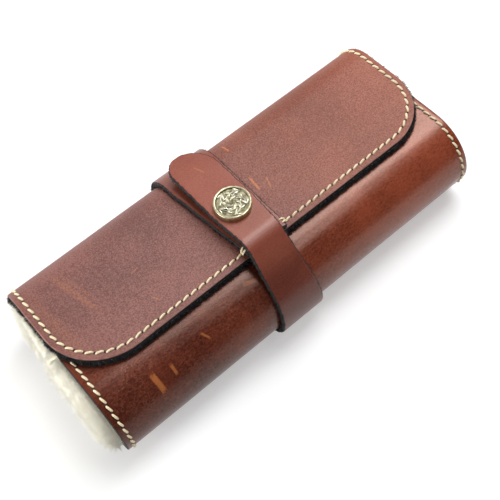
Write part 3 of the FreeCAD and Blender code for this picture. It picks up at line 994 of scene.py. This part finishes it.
curl = shaped_tube(3, 1, curled, CURL_RADIUS, CURL_LONG)
wool_seed = np.random.default_rng(8)

# %% [markdown]
# Each pad starts as a cylinder. Its rings become the outline of the pad, seen from the front of the case:
# flat where it is glued down, swollen and round at the left end, and trimmed short at the right end. Its
# length follows the section. The curls take their shading from the pad's own rounding, as a dense fleece
# does, so the pile looks soft and not like separate wires.

# %% The outline of a pad
PAD_END = 12.0 * MM
TRIM = 2.5 * MM
PAD_ROWS = 28
PAD_GAP = 0.15 * MM
CURL_SINK = 0.6 * MM
LONG_CURL_EVERY = 4


def left_end(angle, bulge, high, flush, taper=1.0):
    """The round left end, from -90 degrees beside the leather to +90 at the free side."""
    reach = bulge * taper * max(0.0, math.cos(angle)) ** 0.55
    return -half_length + flush - reach, high / 2 * (1 + math.sin(angle))


def pad_outline(bulge, puff, thickness, flush):
    left, right = -half_length + flush, half_length - TRIM
    outline = [(right + (left - right) * step / 40, 0.0) for step in range(40)]
    for step in range(16):
        outline.append(left_end(-math.pi / 2 + math.pi * step / 16, bulge, thickness + puff, flush))
    for step in range(40):
        x = left + (right - left) * (step / 40) ** 1.6
        swell = max(0.0, 1 - (x - left) / PAD_END) ** 1.5
        outline.append((x, thickness + puff * swell))
    for step in range(6):
        angle = math.pi / 2 - math.pi * step / 6
        outline.append((right + 0.8 * MM * math.cos(angle), thickness / 2 * (1 + math.sin(angle))))
    return outline


# %% Pads with curls on them
def fleece(name, path, first, last, bulge, puff, inside_count, left_count, thickness=WOOL, flush=0.3 * MM,
           taper=(1.0, 1.0)):
    """A swelling pad under one panel, with curls on its free side and on its left end."""
    outline = pad_outline(bulge, puff, thickness, flush)

    def pad_point(point):
        turn = math.atan2(point.x, point.y) / (2 * math.pi) * len(outline)
        x, depth = outline[round(turn) % len(outline)]
        distance = first + (point.z + 0.5) * (last - first)
        edge = -half_length + flush
        if x < edge:
            x = edge + (x - edge) * between(distance, first, last, *taper)
        (y, z), normal = station(path, distance)
        lumps = 0.05 * math.sin(260 * x + 5) * math.sin(240 * distance)
        lumps += 0.03 * math.sin(610 * x + 480 * distance)
        depth = wall + PAD_GAP + depth * (1 + lumps)
        return x, y - normal[0] * depth, z - normal[1] * depth

    pad = shaped_tube(len(outline), PAD_ROWS - 1, pad_point)
    pad.name = name
    pad.data.materials.append(wool_finish.material)
    bpy.ops.object.shade_smooth()
    nearest = KDTree(len(pad.data.vertices))
    for vertex in pad.data.vertices:
        nearest.insert(vertex.co, vertex.index)
    nearest.balance()
    places = []
    for step in range(inside_count + left_count):
        distance = wool_seed.uniform(first, last)
        (y, z), normal = station(path, distance)
        angle = math.pi / 2
        x, depth = wool_seed.uniform(-half_length + 4 * MM, half_length - TRIM), thickness - CURL_SINK
        if step >= inside_count:
            angle = wool_seed.uniform(-0.5, 0.5) * math.pi
            x, depth = left_end(angle, bulge, thickness + puff, flush, between(distance, first, last, *taper))
            x += 0.5 * MM
        depth += wall
        out = Vector((-math.cos(angle), -normal[0] * math.sin(angle), -normal[1] * math.sin(angle)))
        lean = Vector(wool_seed.normal(0, 0.55, 3))
        size, slim = wool_seed.uniform(0.30, 0.70), 1.0
        if step % LONG_CURL_EVERY == 0:
            size, slim = wool_seed.uniform(0.8, 1.4), 0.45
        root = Vector((x, y - normal[0] * depth, z - normal[1] * depth))
        places.append(stand(root, out + lean, size, wool_seed, slim))
    curls = copies(name + "_curls", curl, places, wool_finish.material)
    each = len(curls.data.vertices) // len(places)
    shading = [vertex.normal.copy() for vertex in pad.data.vertices]
    roots = [shading[nearest.find(matrix.translation)[1]] for matrix in places]
    for vertex in curls.data.vertices:
        shading.append((roots[vertex.index // each] * 0.9 + vertex.normal * 0.1).normalized())
    join_into(pad, curls)
    bpy.ops.object.shade_smooth()
    pad.data.normals_split_custom_set_from_vertices(shading)
    return pad


# %% The three pads
bottom_path = [front_path[2], line((front_low_y, base_z), (back_y, base_z)), rear_path[1],
               line((half_depth, base_z + BACK_RADIUS), (half_depth, back_hinge_z))]
upper_path = [line((half_depth, back_hinge_z), (half_depth, top_z - BACK_RADIUS)), rear_path[3],
              line((back_y, top_z), (tuck_end + 1.5 * MM, top_z))]
wool_pads = {
    "base": fleece("fleece_base", bottom_path, 0.0, path_length(bottom_path), 6.4 * MM, 8.5 * MM, 1500, 8500,
                   taper=(1.0, 0.45)),
    "flap": fleece("fleece_flap", upper_path, 0.0, path_length(upper_path), 5.0 * MM, 5.5 * MM, 900, 5000,
                   flush=1.0 * MM, taper=(0.2, 1.0)),
    "front": fleece("fleece_front", front_path[:2], 0.0, path_length(front_path[:2]), 6.2 * MM, 5.5 * MM,
                    900, 6500),
}
for body, pad in wool_pads.items():
    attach(pad, body)
    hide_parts(body + "_wool")

# %% Strips of fleece that bridge the two hinges
BRIDGE_REACH = 9 * MM
BRIDGE_THICK = 4.4 * MM
BRIDGE_FLUSH = 2.0 * MM


def bridge(name, path, hinge):
    return fleece(name, path, hinge - BRIDGE_REACH, hinge + BRIDGE_REACH, 0.0, 0.0, 500, 60,
                  BRIDGE_THICK, BRIDGE_FLUSH)


back_strip = bridge("fleece_back_hinge", rear_path, seam)
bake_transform(back_strip)
front_strip = bridge("fleece_front_hinge", front_path, front_seam)
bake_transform(front_strip)
for template in (curl, fibre):
    bpy.data.objects.remove(template)

# %% [markdown]
# ## The snap
# The cap is a stamped brass button: a plain raised rim round a sunk field with a leaf scroll. The field is
# dark with patina and the raised leaves are rubbed bright, which two finishes show. The scroll is a common
# ornament: one leafy sprig that winds inwards, copied five times round the middle.


# %% Brass finishes
def brass(name, dark, bright, low, high, roughness):
    finish = Finish(name, roughness, metallic=1.0)
    patina = finish.noise(700, 4.0, 0.7)
    finish.colour(finish.mix(finish.remap(patina, low, high), dark, bright))
    rubbed = finish.remap(patina, 0.3, 0.7, roughness + 0.12, roughness - 0.08)
    finish.put(finish.shader.inputs["Roughness"], rubbed)
    finish.bump([(finish.noise(1500, 3.0), 0.25, 0.1 * MM)])
    return finish.material


rim_brass = brass("antique_rim", (0.30, 0.26, 0.15), (0.58, 0.53, 0.36), 0.3, 0.62, 0.36)
field_brass = brass("antique_field", (0.10, 0.088, 0.052), (0.32, 0.29, 0.185), 0.35, 0.7, 0.5)
leaf_brass = brass("antique_leaf", (0.66, 0.63, 0.46), (0.92, 0.90, 0.74), 0.3, 0.6, 0.36)
inner_brass = brass("snap_inner", (0.34, 0.27, 0.13), (0.60, 0.50, 0.28), 0.3, 0.7, 0.35)
for node_name in ("snap_socket", "snap_stud", "snap_eyelet"):
    dress(node_name, inner_brass)
spring_steel = brass("spring_wire", (0.30, 0.30, 0.30), (0.62, 0.62, 0.62), 0.3, 0.7, 0.3)
dress("snap_spring", spring_steel)
print("materials", len(bpy.data.materials))

# %% The cap's rim and field
cap_radius = (cap_high.x - cap_low.x) / 2
CAP_RIM = 1.05 * MM
CAP_RECESS = 0.6 * MM
CAP_SLOPE = 0.25 * MM
CAP_ROUND = 0.5 * MM
FIELD_RINGS = (1.9 * MM, 2.0 * MM)
cap_x = (cap_low.x + cap_high.x) / 2
start_fresh()
bpy.ops.mesh.primitive_cylinder_add(vertices=72, radius=cap_radius, depth=cap_high.z - tongue_top_z,
                                    location=(cap_x, snap_y, (cap_high.z + tongue_top_z) / 2))
cap = bpy.context.object
cap.name = "snap_cap_button"
bpy.ops.object.transform_apply(location=True, rotation=True, scale=True)
for material in (rim_brass, field_brass):
    cap.data.materials.append(material)
bpy.ops.object.mode_set(mode="EDIT")
bpy.ops.mesh.select_mode(type="FACE")
bpy.ops.mesh.select_all(action="DESELECT")
shape = bmesh.from_edit_mesh(cap.data)
for face in shape.faces:
    face.select_set(face.normal.z > 0.9)
bmesh.update_edit_mesh(cap.data)
for inset, drop in ((CAP_RIM, 0.0), (CAP_SLOPE, -CAP_RECESS), *((ring, 0.0) for ring in FIELD_RINGS)):
    bpy.ops.mesh.inset(thickness=inset)
    bpy.ops.transform.translate(value=(0, 0, drop))
shape = bmesh.from_edit_mesh(cap.data)
field_z = cap_high.z - 0.1 * MM
for face in shape.faces:
    centre = face.calc_center_median()
    inner = math.hypot(centre.x - cap_x, centre.y - snap_y) < cap_radius - CAP_RIM - 0.05 * MM
    face.material_index = 1 if inner and centre.z < field_z and centre.z > tongue_top_z + 0.2 * MM else 0
bpy.ops.mesh.select_mode(type="EDGE")
bpy.ops.mesh.select_all(action="DESELECT")
for edge in shape.edges:
    centre = (edge.verts[0].co + edge.verts[1].co) / 2
    edge.select_set(edge.calc_face_angle(0) > 0.9 and centre.z > field_z)
bmesh.update_edit_mesh(cap.data)
bpy.ops.mesh.bevel(offset=CAP_ROUND, segments=4, affect="EDGES")
bpy.ops.object.mode_set(mode="OBJECT")
bpy.ops.object.shade_smooth_by_angle(angle=math.radians(40))
print(cap.name, len(cap.data.polygons), "faces")
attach(cap, "tongue")
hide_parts("snap_cap")

# %% One sprig of the scroll: a tapering stem with leaves on both sides
SPRIGS = 5
STEM = 0.34 * MM
SPRIG_TAPER = 0.45
LEAF_SHARES = (0.03, 0.28, 0.54)
LEAF_ASIDE, LEAF_AHEAD = 0.80 * MM, 0.95 * MM
LEAF_SPLAY = 0.52
LEAF_LONG, LEAF_WIDE, LEAF_HIGH = 1.40 * MM, 0.36 * MM, 0.34 * MM


def spiral(share):
    """The stem starts beside the rim and winds in towards the middle."""
    angle = 2.5 * share
    radius = (5.75 - 4.7 * share ** 0.85) * MM
    return Vector((radius * math.cos(angle), radius * math.sin(angle), 0.0))


def heading(share):
    return (spiral(min(1.0, share + 0.01)) - spiral(max(0.0, share - 0.01))).normalized()


def stem_point(point):
    share = point.z + 0.5
    ahead = heading(share)
    aside = Vector((-ahead.y, ahead.x, 0.0))
    thick = STEM * (1 - SPRIG_TAPER * share)
    return spiral(share) + aside * point.x * thick + Vector((0, 0, 1)) * point.y * thick


sprig = shaped_tube(6, 13, stem_point)
for share in LEAF_SHARES:
    for side in (-1, 1):
        ahead = heading(share)
        aside = Vector((-ahead.y, ahead.x, 0.0)) * side
        size = 1 - SPRIG_TAPER * share
        spot = spiral(share) + aside * LEAF_ASIDE * size + ahead * LEAF_AHEAD * size
        turn = math.atan2(ahead.y, ahead.x) + side * LEAF_SPLAY
        start_fresh()
        bpy.ops.mesh.primitive_uv_sphere_add(segments=8, ring_count=6, location=spot, rotation=(0, 0, turn),
                                             scale=(LEAF_LONG * size, LEAF_WIDE * size, LEAF_HIGH))
        leaflet = bpy.context.object
        bpy.ops.object.transform_apply(location=True, rotation=True, scale=True)
        join_into(sprig, leaflet)
print("sprig", len(sprig.data.polygons), "faces")

# %% Copy the sprig round the field
leaf_z = cap_high.z - CAP_RECESS + 0.10 * MM
middle = Matrix.Translation((cap_x, snap_y, leaf_z))
leaf_places = [middle @ Matrix.Rotation(2 * math.pi * step / SPRIGS + 0.4, 4, "Z") for step in range(SPRIGS)]
scroll = copies("snap_cap_scroll", sprig, leaf_places, leaf_brass)
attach(scroll, "tongue")
bpy.data.objects.remove(sprig)

# %% [markdown]
# ## Light, floor and camera
# The photograph is a plain white studio shot. The world adds only a little even light. A broad lamp above
# gives the soft shine on the leather, a narrow one gives the bright line along the front, and two more fill
# in from behind and from the left. The floor shows white to the camera and in reflections, and keeps the
# shadow.

# %% World and lamps
WORLD_LIGHT = 0.12
world = bpy.data.worlds.new("studio")
bpy.context.scene.world = world
world.use_nodes = True
world_nodes = world.node_tree
backdrop = world_nodes.nodes["Background"]
backdrop.inputs["Color"].default_value = (1, 1, 1, 1)
rays = world_nodes.nodes.new("ShaderNodeLightPath")
seen = world_nodes.nodes.new("ShaderNodeMapRange")
seen.inputs["To Min"].default_value = WORLD_LIGHT
seen.inputs["To Max"].default_value = 1.0
world_nodes.links.new(rays.outputs["Is Camera Ray"], seen.inputs["Value"])
world_nodes.links.new(seen.outputs["Result"], backdrop.inputs["Strength"])


def lamp(name, place_at, aim, size, power):
    data = bpy.data.lights.new(name, "AREA")
    data.shape = "RECTANGLE"
    data.size, data.size_y = size
    data.energy = power
    item = bpy.data.objects.new(name, data)
    item.location = place_at
    item.rotation_euler = (Vector(aim) - Vector(place_at)).to_track_quat("-Z", "Y").to_euler()
    bpy.context.scene.collection.objects.link(item)


lamp("softbox", (0.36, 0.12, 0.76), (0, 0, 0.02), (0.44, 0.70), 7.0)
lamp("front_strip", (0.25, -0.28, 0.74), (0, 0, 0.02), (0.26, 0.09), 0.6)
lamp("back_wall", (-0.15, 1.0, 0.5), (0, 0, 0.05), (1.6, 0.8), 5.0)
lamp("left_fill", (-0.8, 0.12, 0.16), (0, 0, 0.02), (0.6, 0.3), 6.0)
print("lamps", sorted(light.name for light in bpy.data.lights))

# %% Floor
FLOOR_GREY = 0.64
FLOOR_GLOW = 0.40
start_fresh()
bpy.ops.mesh.primitive_plane_add(size=12.0)
floor = bpy.context.object
floor.name = "studio_floor"
paper = Finish("white_paper", 0.9)
paper.colour((FLOOR_GREY, FLOOR_GREY, FLOOR_GREY))
floor_rays = paper.tree.nodes.new("ShaderNodeLightPath").outputs
shown = paper.math("MAXIMUM", floor_rays["Is Camera Ray"], floor_rays["Is Glossy Ray"])
paper.put_colour(paper.shader.inputs["Emission Color"], (1, 1, 1))
paper.put(paper.shader.inputs["Emission Strength"], paper.math("MULTIPLY", shown, FLOOR_GLOW))
floor.data.materials.append(paper.material)

# %% [markdown]
# The camera stands where the photographer's stood. Its angles, distance and lens were fitted to the corners
# and edges of the case.

# %% Camera at the photograph's viewing angle
AZIMUTH, ELEVATION, ROLL = math.radians(-33.12), math.radians(59.23), math.radians(-8.53)
DISTANCE = 375.1 * MM
TARGET = Vector((0.15 * MM, -0.88 * MM, 6.22 * MM + base_z))
flat = math.cos(ELEVATION)
back = Vector((math.sin(AZIMUTH) * flat, -math.cos(AZIMUTH) * flat, math.sin(ELEVATION)))
level = Vector((math.cos(AZIMUTH), math.sin(AZIMUTH), 0.0))
rise = back.cross(level)
right = level * math.cos(ROLL) + rise * math.sin(ROLL)
top = rise * math.cos(ROLL) - level * math.sin(ROLL)
camera_data = bpy.data.cameras.new("camera")
camera_data.sensor_width = 36.0
camera_data.lens = 64.26
camera = bpy.data.objects.new("camera", camera_data)
turned = Matrix((right, top, back)).transposed().to_4x4()
camera.matrix_world = Matrix.Translation(TARGET + back * DISTANCE) @ turned
bpy.context.scene.collection.objects.link(camera)
bpy.context.scene.camera = camera
bpy.context.scene.view_settings.view_transform = "Standard"
print("camera", [round(value / MM) for value in camera.matrix_world.translation], "mm")

# %% Leave object mode with nothing selected
start_fresh()
